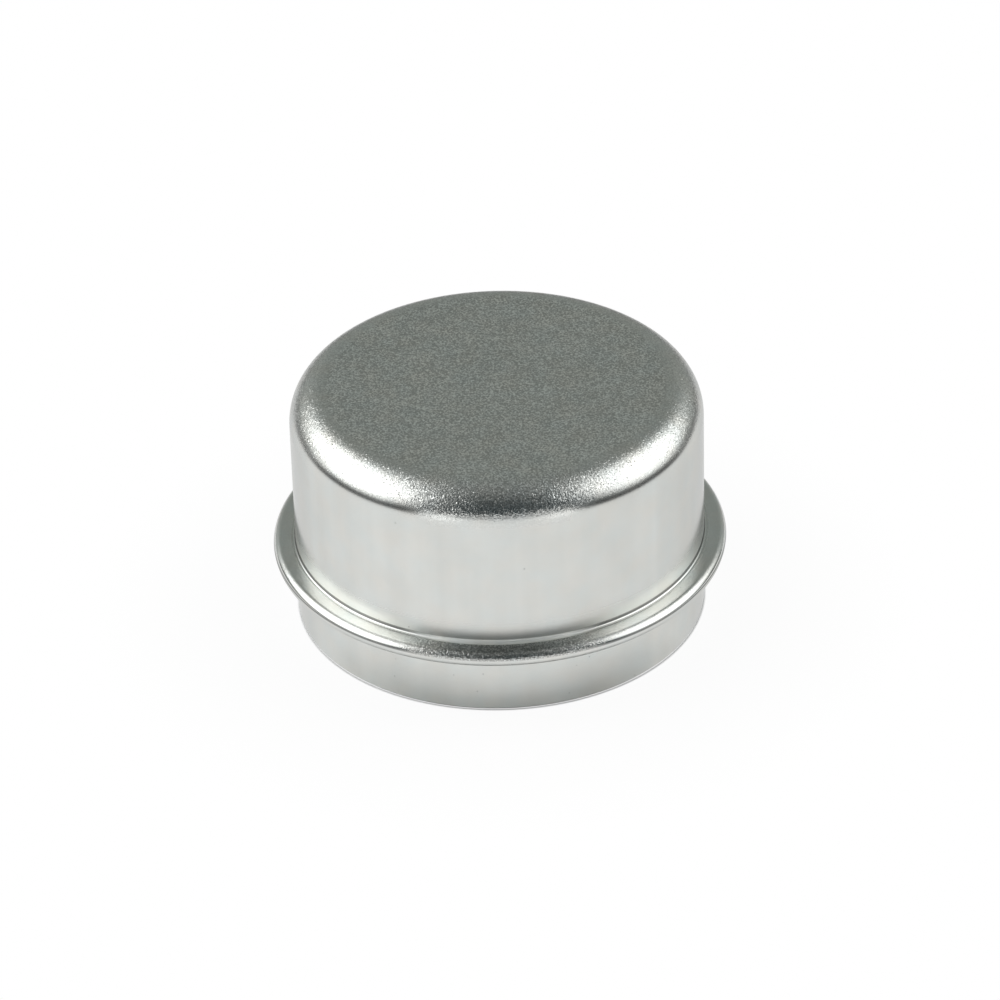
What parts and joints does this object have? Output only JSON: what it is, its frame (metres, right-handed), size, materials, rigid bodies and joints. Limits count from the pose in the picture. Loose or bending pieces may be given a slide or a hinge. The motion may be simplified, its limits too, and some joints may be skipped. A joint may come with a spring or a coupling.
{
  "type": "hub grease cap",
  "caption": "Round drawn-steel cup with a rounded crown, a folded bead and a short press-fit skirt, which closes a wheel hub's bearing bore and keeps its grease in.",
  "frame": {"origin": "centre of the open rim's foot, on the cap's axis, where it stands on its rim", "axes": "+Z along the cap's axis, from the open rim to the closed crown; the cap is round, so X and Y are any two directions across it"},
  "size_m": [0.0558, 0.0558, 0.0305],
  "materials": {
    "zinc_plated_steel": "bright zinc plate over drawn steel: fine matte grain on the crown and bead, burnished smooth on the wall and skirt"
  },
  "bodies": {
    "root": {"grease_cap": "zinc_plated_steel"}
  },
  "joints": []
}
